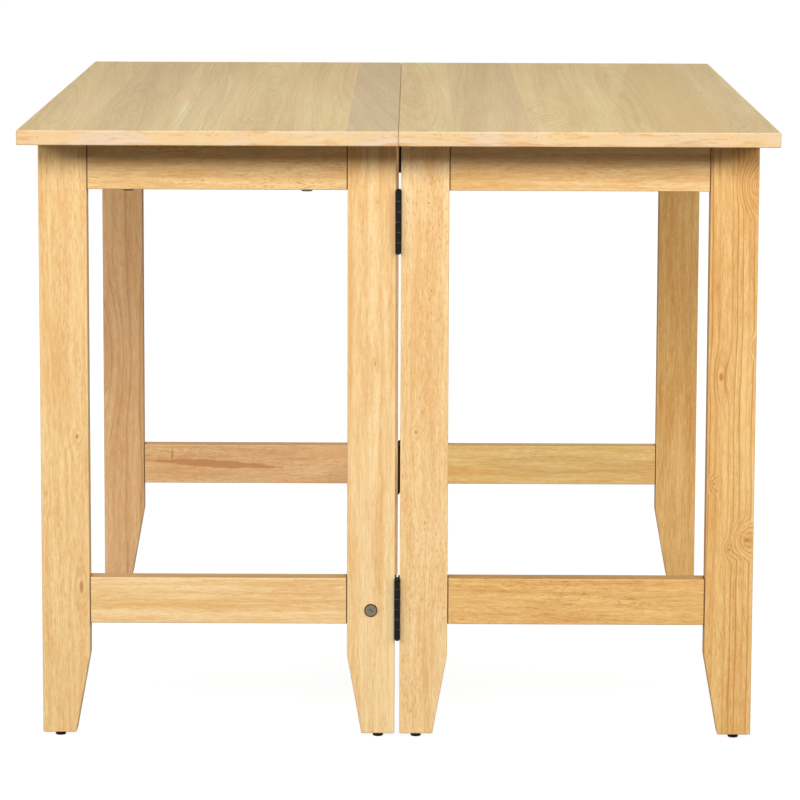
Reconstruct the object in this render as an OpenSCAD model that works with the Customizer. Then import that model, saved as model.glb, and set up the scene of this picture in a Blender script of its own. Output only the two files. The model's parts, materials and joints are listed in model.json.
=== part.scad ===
// Extending dining table: a fixed half on two end frames, and a leaf that two swinging gates
// carry. The leaf folds over onto the fixed top, and the gates then fold flat against the
// end frames, under the overhang of the top.
//
// Millimetres. +X runs across both halves, +Y away from the front, +Z up. The seam between
// the tops is the plane x = 0, and the floor is z = 0.

/* [Tops] */
// Width over both halves
table_w = 914; // [840:2:1000]
// Depth along the seam
table_d = 1219; // [1000:1:1400]
// Height of the top surface above the floor
table_h = 762; // [720:1:800]
// Thickness of each top
top_t = 18; // [18:0.5:24]
// Gap between the edges of the two tops
seam_gap = 0.3; // [0.2:0.1:0.5]
// Radius of the tops' eased edges
top_edge_r = 1.5; // [1:0.5:3]
// Overhang of the tops past the frames at the front and at the rear
end_overhang = 85.5; // [60:0.5:110]
// Overhang of the tops past the outer legs
side_overhang = 18; // [5:1:40]

/* [Legs and rails] */
// Width of a leg seen from the front
leg_w = 59; // [52:1:70]
// Thickness of a leg from front to back
leg_t = 30; // [27:0.5:34]
// Width of a leg at its foot
foot_w = 41; // [30:1:50]
// Height of the tapered part of a leg
taper_h = 99; // [60:0.5:105]
// Distance from the seam to each inner leg
leg_seam_gap = 3; // [3:0.5:5]
// Thickness of an apron or stretcher
rail_t = 28; // [22:0.5:29]
// Height of an apron
apron_h = 61; // [50:1:80]
// Height of a stretcher
stretcher_h = 57.5; // [45:0.5:70]
// Height of the underside of the end stretchers above the floor
stretcher_z = 144.5; // [125:0.5:180]
// Radius of the eased edges of legs and rails
edge_r = 1.5; // [1:0.5:3]
// Chamfer round the shoulders of the rails, where they meet the legs
shoulder_break = 0.8; // [0.4:0.1:1.2]
// Thickness of a tenon
tenon_t = 9; // [7:0.5:12]
// Length of a tenon
tenon_l = 22; // [15:1:28]
// Shoulder above and below a tenon
tenon_shoulder = 9; // [5:1:14]
// Clearance round a tenon
tenon_play = 0.1; // [0.05:0.05:0.2]
// Depth of a mortise beyond its tenon
mortise_end = 0.5; // [0.3:0.1:2]
// Gap between a gate and the leaf that rests on it
gate_play = 0.3; // [0.2:0.1:1]

/* [Feet] */
// Diameter of a glide
glide_d = 13; // [10:1:20]
// Height of a glide
glide_h = 6; // [3:0.5:8]
// Width of the rounded rim under a glide
glide_dome = 2.4; // [1:0.1:4]
// Diameter of a glide's nail
nail_d = 2.5; // [2:0.1:3.5]
// Length of a glide's nail
nail_l = 16; // [10:1:25]

/* [Frame bolts and dowels] */
// Height of the bolt that holds the long stretcher
bolt_z = 162; // [150:1:175]
// Diameter of a bolt's shank
bolt_d = 6; // [5:0.5:7]
// Diameter of a stretcher bolt's head
bolt_head_d = 16; // [13:0.5:18]
// Thickness of a bolt's head
bolt_head_h = 2.6; // [2:0.1:3.5]
// Length of a stretcher bolt below its head
bolt_l = 70; // [66:1:80]
// Width of the hexagon socket in a bolt's head, across its corners
socket_d = 4.6; // [4:0.1:6]
// Chamfer round a bolt's head
bolt_head_edge = 0.8; // [0.4:0.1:1]
// Clearance round a bolt in wood, on the diameter
bolt_play = 0.6; // [0.2:0.1:1]
// Distance from the end of the long stretcher to the axis of its cross nut
cross_nut_in = 32; // [28:1:35]
// Diameter of a cross nut
cross_nut_d = 10; // [9:0.5:12]
// Length of a cross nut
cross_nut_l = 18; // [14:1:20]
// Diameter of a dowel
dowel_d = 8; // [6:1:10]
// Depth of a dowel in the leg
dowel_in_leg = 12; // [8:1:16]
// Depth of a dowel in the long stretcher
dowel_in_rail = 22; // [15:1:30]
// Distance from the bolt to each dowel
dowel_pitch = 18; // [14:0.5:20]
// Diameter of a top bolt's head
top_bolt_head_d = 14; // [12:0.5:16]
// Distance from the end of an apron to each top bolt
top_bolt_in = 50; // [30:1:90]
// Depth of a threaded insert in the top
insert_depth = 12; // [8:0.5:14]
// Outer diameter of a threaded insert
insert_d = 9; // [8.5:0.5:12]

/* [Gate hinges] */
// Height of a hinge leaf
hinge_h = 76; // [60:1:90]
// Width of a hinge leaf from the barrel's axis
hinge_leaf_w = 24; // [20:0.5:27]
// Thickness of a hinge leaf
hinge_leaf_t = 2; // [1.6:0.1:2.4]
// Outer diameter of the barrel
barrel_d = 7.6; // [7.4:0.1:8.6]
// Diameter of the hinge pin
hinge_pin_d = 3.8; // [3:0.1:4]
// Distance of the barrel's axis in front of the leg's face
barrel_out = 4.5; // [4.3:0.1:6]
// Number of knuckles in a barrel
knuckles = 6; // [3:1:7]
// Gap between two knuckles
knuckle_gap = 0.15; // [0.1:0.05:0.3]
// Height of a pin's domed tip
tip_h = 2.2; // [1.5:0.1:3]
// Height of the middle of the lower hinges
low_hinge_z = 164.5; // [158:0.5:170]
// Height of the middle of the upper hinges
high_hinge_z = 645; // [600:0.5:646]
// Diameter of a wood screw
screw_d = 3.5; // [3:0.1:4]
// Length of a hinge screw
hinge_screw_l = 18; // [14:1:20]
// Distance from the ends of a hinge leaf to its outer screws
hinge_screw_end = 10.6; // [8:0.2:14]
// Distance from the free edge of a hinge leaf to its outer screws
hinge_screw_edge = 5; // [4.2:0.1:6]
// Distance of the middle screw from the line of the outer ones
hinge_screw_stagger = 5; // [0:0.5:6]

/* [Concealed hinges] */
// Number of concealed hinges along the seam
concealed_count = 3; // [2:1:5]
// Distance from the ends of the seam to the outer hinges
concealed_in = 210; // [120:1:280]
// Depth of the cups below the top surface
cup_drop = 3.8; // [3.6:0.1:4]
// Height of a cup
cup_h = 12; // [12:0.1:12.4]
// Length of a cup along the seam
cup_l = 46; // [40:1:60]
// Depth of a cup's face below the edge of the top
cup_sink = 0.3; // [0.1:0.1:0.6]
// Depth of a cup from the edge of the top
cup_depth = 16; // [15:0.5:22]
// Thickness of one link
link_t = 2.2; // [1.8:0.1:2.6]
// Gap between two links
link_gap = 0.2; // [0.15:0.05:0.4]
// Width of a link's arm
link_w = 2.6; // [2:0.1:2.7]
// Diameter of the eye of a link
link_eye_d = 4.2; // [4:0.1:4.4]
// Diameter of a link's pin
link_pin_d = 2.2; // [1.8:0.1:2.4]
// Length of a link's pin beyond the slot, at each end
link_pin_in = 4; // [2:0.5:6]
// Length of a cup screw
cup_screw_l = 28; // [24:1:35]

/* [Gate stops] */
// Length of a stop block along the leaf
stop_l = 60; // [40:1:90]
// Height of a stop block
stop_h = 16; // [12:1:20]
// Width of a stop block
stop_w = 18; // [16:1:30]
// Length of a stop block's screws
stop_screw_l = 26; // [24:1:28]
// Distance between a stop block's screws
stop_screw_pitch = 30; // [20:1:36]

/* [Hidden] */

$fn = 48;
eps = 0.01;
wood_play = 0.05;
pin_play = 0.05;

under_top = table_h - top_t;
frame_y = table_d/2 - end_overhang;
outer_x = table_w/2 - side_overhang;
inner_x = leg_seam_gap;
rail_x = inner_x + leg_w;
rail_l = outer_x - leg_w - rail_x;
rail_back = (leg_t - rail_t)/2;
leg_axis_x = inner_x + leg_w/2;
foot_axis = foot_w/2;
hinge_axis_y = -frame_y - barrel_out;
knuckle_h = hinge_h/knuckles;
hinge_heights = [low_hinge_z, high_hinge_z];
hinge_screw_z = hinge_h/2 - hinge_screw_end;
// the outer screws behind the leg's front face
hinge_screw_y = hinge_leaf_w - barrel_out - hinge_screw_edge;

// the leaf turns about a line just above the surface, in the seam
fold_lift = 0.2;
fold_z = table_h + fold_lift;
cup_top = -fold_lift - cup_drop;
cup_floor = cup_top - cup_h;
link_pitch = link_t + link_gap;
links_side = 2;
slot_w = 2*links_side*link_pitch + link_gap;
pivot = [-6, cup_top - 2.4];
// the arm of a link goes down from its eye, along under the corner of the seam and up again
link_path = [pivot, [-5.6, cup_floor + 2.8], [-4.2, cup_floor + 1.8],
    [6.6, cup_floor + 1.8], [9, cup_floor + 6.6]];
slot_depth = 13;

stop_x = outer_x - leg_w - rail_l/2;
stop_y = -frame_y + leg_t - rail_back + gate_play;

WOOD = [0.83, 0.66, 0.43];
TOP_WOOD = [0.85, 0.74, 0.56];
BLACK = [0.07, 0.07, 0.07];
BRONZE = [0.42, 0.33, 0.22];
STEEL = [0.66, 0.66, 0.64];
BROWN = [0.2, 0.13, 0.09];

function concealed_y(i) =
    (i/(concealed_count - 1) - 0.5)*(table_d - 2*concealed_in);

// Shared shapes

// A rectangle with rounded corners, from the origin
module eased_rect(w, h, r) {
    translate([r, 0]) square([w - 2*r, h]);
    translate([0, r]) square([w, h - 2*r]);
    for (x = [r, w - r], y = [r, h - r]) translate([x, y]) circle(r);
}

// A board of a flat convex outline, with every edge rounded over
module eased_board(thickness, r) {
    hull() for (a = [0:30:90])
        translate([0, 0, r*(1 - sin(a))])
            linear_extrude(thickness - 2*r*(1 - sin(a)))
                offset(r = r*cos(a), $fn = 24) offset(delta = -r) children();
}

// Turns an outline's plane upright, so that its thickness runs from y = 0 to y = t
module upright(t) {
    translate([0, t, 0]) rotate([90, 0, 0]) children();
}

// A rounded bar along +X from the origin, rail_t wide in y and h high in z, with its ends chamfered
module rail_bar(l, h) {
    side = shoulder_break*sqrt(2);
    difference() {
        rotate([90, 0, 90]) linear_extrude(l) eased_rect(rail_t, h, edge_r);
        for (x = [0, l]) {
            for (z = [0, h]) translate([x, rail_t/2, z]) rotate([0, 45, 0])
                cube([side, rail_t + 2, side], center = true);
            for (y = [0, rail_t]) translate([x, y, h/2]) rotate([0, 0, 45])
                cube([side, side, h + 2], center = true);
        }
    }
}

// A leg with its straight edge at x = 0, its front face at y = 0 and its foot on a glide
module leg_blank(top_z) {
    upright(leg_t) eased_board(leg_t, edge_r)
        polygon([[0, glide_h], [foot_w, glide_h], [leg_w, glide_h + taper_h],
            [leg_w, top_z], [0, top_z]]);
}

// The hole for a tenon that enters a leg's face at x = leg_w, above the height z
module mortise(z, h) {
    translate([leg_w - tenon_l - mortise_end, rail_back + (rail_t - tenon_t)/2 - tenon_play,
        z + tenon_shoulder - tenon_play])
        cube([tenon_l + mortise_end + 1, tenon_t + 2*tenon_play,
            h - 2*tenon_shoulder + 2*tenon_play]);
}

module nail_hole() {
    translate([foot_axis, leg_t/2, glide_h - 1])
        cylinder(d = nail_d + 2*wood_play, h = nail_l + 1.5);
}

module leg(top_z) {
    difference() {
        leg_blank(top_z);
        mortise(top_z - apron_h, apron_h);
        mortise(stretcher_z, stretcher_h);
        nail_hole();
    }
}

// A rail with a tenon on each end; the rail's body runs from x = 0 to x = rail_l
module tenoned_rail(z, h) {
    translate([0, rail_back, z]) {
        rail_bar(rail_l, h);
        translate([-tenon_l, (rail_t - tenon_t)/2, tenon_shoulder])
            cube([rail_l + 2*tenon_l, tenon_t, h - 2*tenon_shoulder]);
    }
}

// The screw's head fills its countersink; the tip points along -Z
module wood_screw(d, l) {
    rotate([180, 0, 0]) rotate_extrude()
        polygon([[0, 0.2], [d*0.95, 0.2], [d/2, d*0.55], [d/2, l - d], [0, l]]);
}

module wood_screw_hole(d, l) {
    translate([0, 0, -l - 0.5]) cylinder(d = d + 2*wood_play, h = l + 1);
}

module countersink(d) {
    rotate([180, 0, 0]) rotate_extrude()
        polygon([[0, -1], [d + 0.1, -1], [d + 0.1, 0.15], [d/2 + wood_play, d*0.58],
            [d/2 + wood_play, 40], [0, 40]]);
}

// Puts a piece of the front left frame at the rear, on the right, or both
module placed(rear, right) {
    mirror([0, rear ? 1 : 0, 0]) mirror([right ? 1 : 0, 0, 0]) children();
}

// Places of the frame's pieces at the front left
module at_outer_leg() {
    translate([-outer_x, -frame_y, 0]) children();
}

module at_inner_leg() {
    translate([-inner_x, -frame_y, 0]) mirror([1, 0, 0]) children();
}

module at_rails() {
    translate([-rail_x - rail_l, -frame_y, 0]) children();
}

// Places of the screws of the hinge leaves on the inner leg's seam edge, tip into the leg
module at_hinge_screws() {
    for (z = hinge_heights, i = [-1:1])
        translate([-hinge_leaf_t, hinge_screw_y - hinge_screw_stagger*(1 - abs(i)),
            z + i*hinge_screw_z]) rotate([0, -90, 0]) children();
}

module glide() {
    translate([foot_axis, leg_t/2, 0]) {
        rotate_extrude()
            polygon([[0, 0], [glide_d/2 - glide_dome, 0],
                for (a = [30, 60, 90]) [glide_d/2 - glide_dome + glide_dome*sin(a),
                    glide_dome/2*(1 - cos(a))],
                [glide_d/2, glide_h], [0, glide_h]]);
        translate([0, 0, glide_h - eps]) cylinder(d = nail_d, h = nail_l);
    }
}

// Tops

module top_blank() {
    translate([-table_w/2, -table_d/2, under_top])
        eased_board(top_t, top_edge_r)
            square([table_w/2 - seam_gap/2, table_d]);
}

// The outline of a cup seen from the edge of the top, in y and z from the fold line
module cup_outline(play) {
    r = cup_h/2;
    for (s = [-1, 1]) translate([s*(cup_l/2 - r), cup_top - r]) circle(r + play);
    translate([-cup_l/2 + r, cup_floor - play]) square([cup_l - 2*r, cup_h + 2*play]);
}

// A cup's solid or its mortise, from the edge at x = 0 to -depth
module cup_block(depth, play) {
    translate([-depth, 0, 0]) rotate([90, 0, 90]) linear_extrude(depth) cup_outline(play);
}

module at_concealed_hinges() {
    for (i = [0:concealed_count - 1]) translate([0, concealed_y(i), fold_z]) children();
}

module at_cup_screws() {
    for (s = [-1, 1])
        translate([-seam_gap/2 - cup_sink, s*(slot_w/2 + cup_l/2)/2, (cup_top + cup_floor)/2])
            rotate([0, 90, 0]) children();
}

module cup_mortises() {
    at_concealed_hinges() {
        translate([1, 0, 0]) cup_block(cup_depth + 1 + wood_play, wood_play);
        at_cup_screws() wood_screw_hole(screw_d, cup_screw_l);
    }
}

module cups() {
    at_concealed_hinges() difference() {
        translate([-seam_gap/2 - cup_sink, 0, 0]) cup_block(cup_depth - seam_gap/2 - cup_sink, 0);
        translate([-slot_depth, -slot_w/2, cup_floor - 1]) cube([slot_depth + 1, slot_w, cup_h + 2]);
        translate([pivot[0], 0, pivot[1]]) rotate([90, 0, 0])
            cylinder(d = link_pin_d + 2*pin_play, h = slot_w + 2*link_pin_in + 0.4, center = true);
        at_cup_screws() countersink(screw_d);
    }
}

module cup_screws() {
    at_concealed_hinges() at_cup_screws() wood_screw(screw_d, cup_screw_l);
}

module link_pins() {
    at_concealed_hinges() translate([pivot[0], 0, pivot[1]]) rotate([90, 0, 0])
        cylinder(d = link_pin_d, h = slot_w + 2*link_pin_in, center = true);
}

// One link's plate, with its eye on the fixed side and its free end in the leaf's cup
module link_plate() {
    rotate([90, 0, 0]) linear_extrude(link_t, center = true) difference() {
        union() {
            for (i = [0:len(link_path) - 2]) link_arm(link_path[i], link_path[i + 1]);
            translate(pivot) circle(d = link_eye_d);
        }
        translate(pivot) circle(d = link_pin_d + 2*pin_play);
    }
}

// A straight arm with round ends between two points
module link_arm(p, q) {
    d = q - p;
    for (c = [p, q]) translate(c) circle(d = link_w);
    translate(p) rotate(atan2(d[1], d[0])) translate([0, -link_w/2]) square([norm(d), link_w]);
}

module links(first) {
    at_concealed_hinges() for (i = [0:links_side - 1])
        translate([0, (first + 2*i - links_side + 0.5)*link_pitch, 0]) link_plate();
}

module fixed_top() {
    color(TOP_WOOD) difference() {
        top_blank();
        cup_mortises();
        for (rear = [0, 1]) placed(rear, 0) at_top_bolts()
            translate([0, 0, under_top - 1])
                cylinder(d = insert_d + 2*wood_play, h = insert_depth + 1.5);
    }
}

module leaf_top() {
    color(TOP_WOOD) difference() {
        mirror([1, 0, 0]) {
            difference() {
                top_blank();
                cup_mortises();
            }
        }
        at_stop_screws() wood_screw_hole(screw_d, stop_screw_l);
    }
}

// Frame of the fixed half

module outer_leg(rear, right, top_z) {
    color(WOOD) placed(rear, right) at_outer_leg() leg(top_z);
}

module fixed_inner_leg(rear) {
    color(WOOD) placed(rear, 0) at_inner_leg() difference() {
        leg(under_top);
        at_hinge_screws() wood_screw_hole(screw_d, hinge_screw_l);
        translate([leg_w/2, -1, bolt_z]) rotate([-90, 0, 0])
            cylinder(d = bolt_d + bolt_play, h = leg_t + 2);
        for (s = [-1, 1]) translate([leg_w/2, leg_t - dowel_in_leg - 0.5, bolt_z + s*dowel_pitch])
            rotate([-90, 0, 0]) cylinder(d = dowel_d + 2*wood_play, h = dowel_in_leg + 2);
    }
}

module gate_inner_leg(rear) {
    color(WOOD) placed(rear, 1) at_inner_leg() difference() {
        leg(under_top - gate_play);
        at_hinge_screws() wood_screw_hole(screw_d, hinge_screw_l);
    }
}

module at_top_bolts() {
    for (x = [top_bolt_in, rail_l - top_bolt_in])
        translate([-rail_x - rail_l + x, -frame_y + leg_t/2, 0]) children();
}

module fixed_apron(rear) {
    color(WOOD) placed(rear, 0) difference() {
        at_rails() tenoned_rail(under_top - apron_h, apron_h);
        at_top_bolts() translate([0, 0, under_top - apron_h - 1])
            cylinder(d = bolt_d + bolt_play, h = apron_h + 2);
    }
}

module gate_apron(rear) {
    color(WOOD) placed(rear, 1) at_rails() tenoned_rail(under_top - gate_play - apron_h, apron_h);
}

module end_stretcher(rear, right) {
    color(WOOD) placed(rear, right) at_rails() tenoned_rail(stretcher_z, stretcher_h);
}

module long_stretcher() {
    span = 2*(frame_y - leg_t);
    color(WOOD) difference() {
        translate([-leg_axis_x + rail_t/2, -span/2, bolt_z - stretcher_h/2])
            rotate([0, 0, 90]) rail_bar(span, stretcher_h);
        for (rear = [0, 1]) placed(rear, 0) translate([-leg_axis_x, -span/2, bolt_z]) {
            rotate([-90, 0, 0]) translate([0, 0, -1])
                cylinder(d = bolt_d + bolt_play, h = bolt_l - leg_t + 3);
            for (s = [-1, 1]) translate([0, -1, s*dowel_pitch]) rotate([-90, 0, 0])
                cylinder(d = dowel_d + 2*wood_play, h = dowel_in_rail + 1.5);
            translate([-rail_t/2 - 1, cross_nut_in, 0]) rotate([0, 90, 0])
                cylinder(d = cross_nut_d + 2*wood_play, h = rail_t/2 + cross_nut_l/2 + 1.5);
        }
    }
}

module stretcher_dowels() {
    color(WOOD) for (rear = [0, 1], s = [-1, 1]) placed(rear, 0)
        translate([-leg_axis_x, -frame_y + leg_t - dowel_in_leg, bolt_z + s*dowel_pitch])
            rotate([-90, 0, 0]) cylinder(d = dowel_d, h = dowel_in_leg + dowel_in_rail);
}

// A bolt from its head's seat at the origin, with its shank along +Z
module socket_bolt(head_d, l) {
    difference() {
        union() {
            cylinder(d = bolt_d, h = l);
            rotate_extrude() polygon([[0, -bolt_head_h], [head_d/2 - bolt_head_edge, -bolt_head_h],
                [head_d/2, bolt_head_edge - bolt_head_h], [head_d/2, 0], [0, 0]]);
        }
        translate([0, 0, -bolt_head_h - 1]) cylinder(d = socket_d, h = bolt_head_h + 2.5, $fn = 6);
    }
}

module stretcher_bolts() {
    color(BRONZE) for (rear = [0, 1]) placed(rear, 0)
        translate([-leg_axis_x, -frame_y, bolt_z]) rotate([-90, 0, 0])
            socket_bolt(bolt_head_d, bolt_l);
}

module cross_nuts() {
    color(STEEL) for (rear = [0, 1]) placed(rear, 0)
        translate([-leg_axis_x, -frame_y + leg_t + cross_nut_in, bolt_z]) difference() {
            rotate([0, 90, 0]) cylinder(d = cross_nut_d, h = cross_nut_l, center = true);
            rotate([90, 0, 0]) cylinder(d = bolt_d + 2*wood_play, h = cross_nut_d + 2, center = true);
        }
}

module top_bolts() {
    color(BRONZE) for (rear = [0, 1]) placed(rear, 0) at_top_bolts()
        translate([0, 0, under_top - apron_h])
            socket_bolt(top_bolt_head_d, apron_h + insert_depth - 1);
}

module top_inserts() {
    color(STEEL) for (rear = [0, 1]) placed(rear, 0) at_top_bolts()
        translate([0, 0, under_top]) difference() {
            cylinder(d = insert_d, h = insert_depth);
            translate([0, 0, -1]) cylinder(d = bolt_d + 2*wood_play, h = insert_depth + 2);
        }
}

module base_glides() {
    color(BROWN) for (rear = [0, 1]) placed(rear, 0) {
        at_outer_leg() glide();
        at_inner_leg() glide();
    }
}

module gate_glides(rear) {
    color(BROWN) placed(rear, 1) {
        at_outer_leg() glide();
        at_inner_leg() glide();
    }
}

// Gate hinges: the barrel stands in front of the legs, and a leaf lies on each seam edge

// Knuckles first, first + 2 and so on, with the leaf on the side x > 0
module hinge_leaf(first) {
    strap_y = barrel_d/2 + 0.3;
    difference() {
        union() {
            translate([leg_seam_gap - hinge_leaf_t, strap_y, -hinge_h/2])
                cube([hinge_leaf_t, hinge_leaf_w - strap_y, hinge_h]);
            for (k = [first:2:knuckles - 1])
                translate([0, 0, -hinge_h/2 + k*knuckle_h + knuckle_gap/2]) {
                    cylinder(d = barrel_d, h = knuckle_h - knuckle_gap);
                    translate([leg_seam_gap - hinge_leaf_t, 0, 0])
                        cube([hinge_leaf_t, strap_y + 1, knuckle_h - knuckle_gap]);
                }
        }
        cylinder(d = hinge_pin_d + 2*pin_play, h = hinge_h + 2, center = true);
    }
}

module at_hinges(right) {
    for (z = hinge_heights) translate([0, hinge_axis_y, z]) mirror([right ? 0 : 1, 0, 0]) children();
}

module hinge_leaves(rear, right) {
    color(BLACK) placed(rear, 0) difference() {
        at_hinges(right) hinge_leaf(right ? 1 : 0);
        mirror([right ? 1 : 0, 0, 0]) at_inner_leg() at_hinge_screws() countersink(screw_d);
    }
}

module hinge_pins(rear) {
    cap_r = barrel_d/2 - 0.3;
    dome_r = (cap_r*cap_r + tip_h*tip_h)/(2*tip_h);
    color(BLACK) placed(rear, 0) at_hinges(1) {
        cylinder(d = hinge_pin_d, h = hinge_h + 0.2, center = true);
        for (s = [0, 1]) mirror([0, 0, s]) translate([0, 0, hinge_h/2 + 0.1])
            rotate_extrude() intersection() {
                translate([0, tip_h - dome_r]) circle(dome_r);
                square([cap_r, tip_h]);
            }
    }
}

module hinge_screws(rear, right) {
    color(BLACK) placed(rear, right) at_inner_leg() at_hinge_screws()
        wood_screw(screw_d, hinge_screw_l);
}

module fixed_hinge_screws() {
    hinge_screws(0, 0);
    hinge_screws(1, 0);
}

// Stops under the leaf, which a gate's apron rests against when it is open

module at_stop_screws() {
    for (rear = [0, 1], s = [-1, 1]) placed(rear, 0)
        translate([stop_x + s*stop_screw_pitch/2, stop_y + stop_w/2, under_top - stop_h])
            mirror([0, 0, 1]) children();
}

module gate_stops() {
    color(WOOD) difference() {
        for (rear = [0, 1]) placed(rear, 0)
            translate([stop_x - stop_l/2, stop_y, under_top - stop_h])
                cube([stop_l, stop_w, stop_h]);
        at_stop_screws() countersink(screw_d);
    }
}

module gate_stop_screws() {
    color(STEEL) at_stop_screws() wood_screw(screw_d, stop_screw_l);
}

// Nodes

fixed_top();
outer_leg(0, 0, under_top);  // front_outer_leg
fixed_inner_leg(0);  // front_inner_leg
outer_leg(1, 0, under_top);  // rear_outer_leg
fixed_inner_leg(1);  // rear_inner_leg
fixed_apron(0);  // front_apron
fixed_apron(1);  // rear_apron
end_stretcher(0, 0);  // front_stretcher
end_stretcher(1, 0);  // rear_stretcher
long_stretcher();
stretcher_dowels();
stretcher_bolts();
cross_nuts();
top_bolts();
top_inserts();
base_glides();
hinge_leaves(0, 0);  // front_hinge_fixed_leaves
hinge_leaves(1, 0);  // rear_hinge_fixed_leaves
hinge_pins(0);  // front_hinge_pins
hinge_pins(1);  // rear_hinge_pins
fixed_hinge_screws();
gate_inner_leg(0);  // front_gate_inner_leg
outer_leg(0, 1, under_top - gate_play);  // front_gate_outer_leg
gate_apron(0);  // front_gate_apron
end_stretcher(0, 1);  // front_gate_stretcher
gate_glides(0);  // front_gate_glides
hinge_leaves(0, 1);  // front_gate_hinge_leaves
hinge_screws(0, 1);  // front_gate_screws
gate_inner_leg(1);  // rear_gate_inner_leg
outer_leg(1, 1, under_top - gate_play);  // rear_gate_outer_leg
gate_apron(1);  // rear_gate_apron
end_stretcher(1, 1);  // rear_gate_stretcher
gate_glides(1);  // rear_gate_glides
hinge_leaves(1, 1);  // rear_gate_hinge_leaves
hinge_screws(1, 1);  // rear_gate_screws
leaf_top();
gate_stops();
gate_stop_screws();
color(STEEL) cups();  // fixed_cups
color(STEEL) mirror([1, 0, 0]) cups();  // leaf_cups
color(STEEL) link_pins();  // fixed_link_pins
color(STEEL) mirror([1, 0, 0]) link_pins();  // leaf_link_pins
color(STEEL) cup_screws();  // fixed_cup_screws
color(STEEL) mirror([1, 0, 0]) cup_screws();  // leaf_cup_screws
color(STEEL) links(0);  // fixed_side_links
color(STEEL) mirror([1, 0, 0]) links(1);  // leaf_side_links
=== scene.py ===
# %% [markdown]
# # A folding dining table, dressed for the camera
# The table is already built: a CAD model gives every board, hinge and screw its real place and size.
# This lesson adds what makes it look real: the studio, the figure of the wood, the lacquer, the painted
# and plated steel, and screws with a thread. Everything is in metres unless it says mm. X runs from the
# fixed half to the leaf, Y from the front to the rear, and Z up.

# %% Load the fixed frame
import json
import math

import bmesh
import bpy
from mathutils import Matrix, Vector


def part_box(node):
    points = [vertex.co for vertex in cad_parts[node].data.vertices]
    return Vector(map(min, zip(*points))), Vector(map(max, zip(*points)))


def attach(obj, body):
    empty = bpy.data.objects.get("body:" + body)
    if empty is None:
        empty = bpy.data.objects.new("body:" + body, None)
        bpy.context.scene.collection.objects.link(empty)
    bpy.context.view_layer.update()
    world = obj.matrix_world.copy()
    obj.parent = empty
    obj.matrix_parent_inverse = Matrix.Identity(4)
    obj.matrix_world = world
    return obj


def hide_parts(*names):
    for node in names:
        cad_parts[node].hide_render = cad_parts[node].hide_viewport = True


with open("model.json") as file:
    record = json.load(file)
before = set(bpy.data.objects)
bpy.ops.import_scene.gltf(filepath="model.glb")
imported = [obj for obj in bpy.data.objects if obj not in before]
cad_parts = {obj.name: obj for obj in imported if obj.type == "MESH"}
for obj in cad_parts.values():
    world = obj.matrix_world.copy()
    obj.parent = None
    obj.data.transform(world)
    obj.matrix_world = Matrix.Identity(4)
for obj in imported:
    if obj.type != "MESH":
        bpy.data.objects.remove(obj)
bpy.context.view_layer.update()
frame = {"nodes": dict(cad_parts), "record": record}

nodes = frame["nodes"]

# %% [markdown]
# ## The camera
# The corners of the tops and the feet were matched to the picture, which gives one place, one direction
# and one focal length. The lens is long, because the rear legs look nearly as large as the front ones.
# The turn is three plain angles: to the side, down, and a very small tilt.

# %% Place the camera


def show(thing):
    """Links an object to the scene: a new one belongs to no scene yet."""
    bpy.context.scene.collection.objects.link(thing)


CAMERA_PLACE = (0.0157, -5.4301, 1.1697)
LOOKS_DOWN = math.radians(8.6311)
LOOKS_LEFT = math.radians(0.1531)
TILTS = math.radians(0.2010)
LENS = 182.05

camera_data = bpy.data.cameras.new("camera")
camera_data.sensor_width = 36.0
camera_data.lens = LENS
camera_data.clip_end = 200.0
camera = bpy.data.objects.new("camera", camera_data)
camera.matrix_world = (
    Matrix.Translation(CAMERA_PLACE)
    @ Matrix.Rotation(LOOKS_LEFT, 4, "Z")
    @ Matrix.Rotation(math.radians(90) - LOOKS_DOWN, 4, "X")
    @ Matrix.Rotation(TILTS, 4, "Z")
)
show(camera)
bpy.context.scene.camera = camera
bpy.context.scene.view_settings.view_transform = "Standard"
print("camera lens:", LENS, "mm, at", CAMERA_PLACE)

# %% [markdown]
# ## Small helpers for node trees
# Adding each node by hand takes four or five lines, which hides what the tree does. A few short helpers
# make one line of each step, so that a tree reads like the sum that it is. A value that is a socket is
# linked, and any other value is typed into the socket.

# %% Node helpers
FLOAT = "NodeSocketFloat"
VECTOR = "NodeSocketVector"
COLOUR = "NodeSocketColor"
ZERO = (0.0, 0.0, 0.0)
WHITE = (1.0, 1.0, 1.0, 1.0)


def add(tree, kind, inputs, **settings):
    """Adds one node, with its settings and inputs, and returns it."""
    made = tree.nodes.new(kind)
    for name, value in settings.items():
        setattr(made, name, value)
    for key, value in inputs.items():
        if isinstance(value, bpy.types.NodeSocket):
            tree.links.new(value, made.inputs[key])
        else:
            made.inputs[key].default_value = value
    return made


def first(tree, kind, inputs, **settings):
    """Adds one node and returns its first output."""
    return add(tree, kind, inputs, **settings).outputs[0]


def calc(tree, operation, a, b=0.0):
    """One sum on numbers."""
    return first(tree, "ShaderNodeMath", {0: a, 1: b}, operation=operation)


def plus(tree, a, b):
    """Two numbers added."""
    return calc(tree, "ADD", a, b)


def minus(tree, a, b):
    """The second number taken from the first."""
    return calc(tree, "SUBTRACT", a, b)


def times(tree, a, b):
    """Two numbers multiplied."""
    return calc(tree, "MULTIPLY", a, b)


def vector_calc(tree, operation, a, b=ZERO):
    """One sum on vectors, which gives a number for a length and a vector for the rest."""
    made = add(tree, "ShaderNodeVectorMath", {0: a, 1: b}, operation=operation)
    return made.outputs["Value" if operation == "LENGTH" else "Vector"]


def centred(tree, value, strength):
    """A value from 0 to 1, moved to lie round 0 and then multiplied."""
    return times(tree, minus(tree, value, 0.5), strength)


def scaled(tree, vector, amount):
    """A vector times one number."""
    return first(tree, "ShaderNodeVectorMath", {0: vector, 3: amount}, operation="SCALE")


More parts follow.
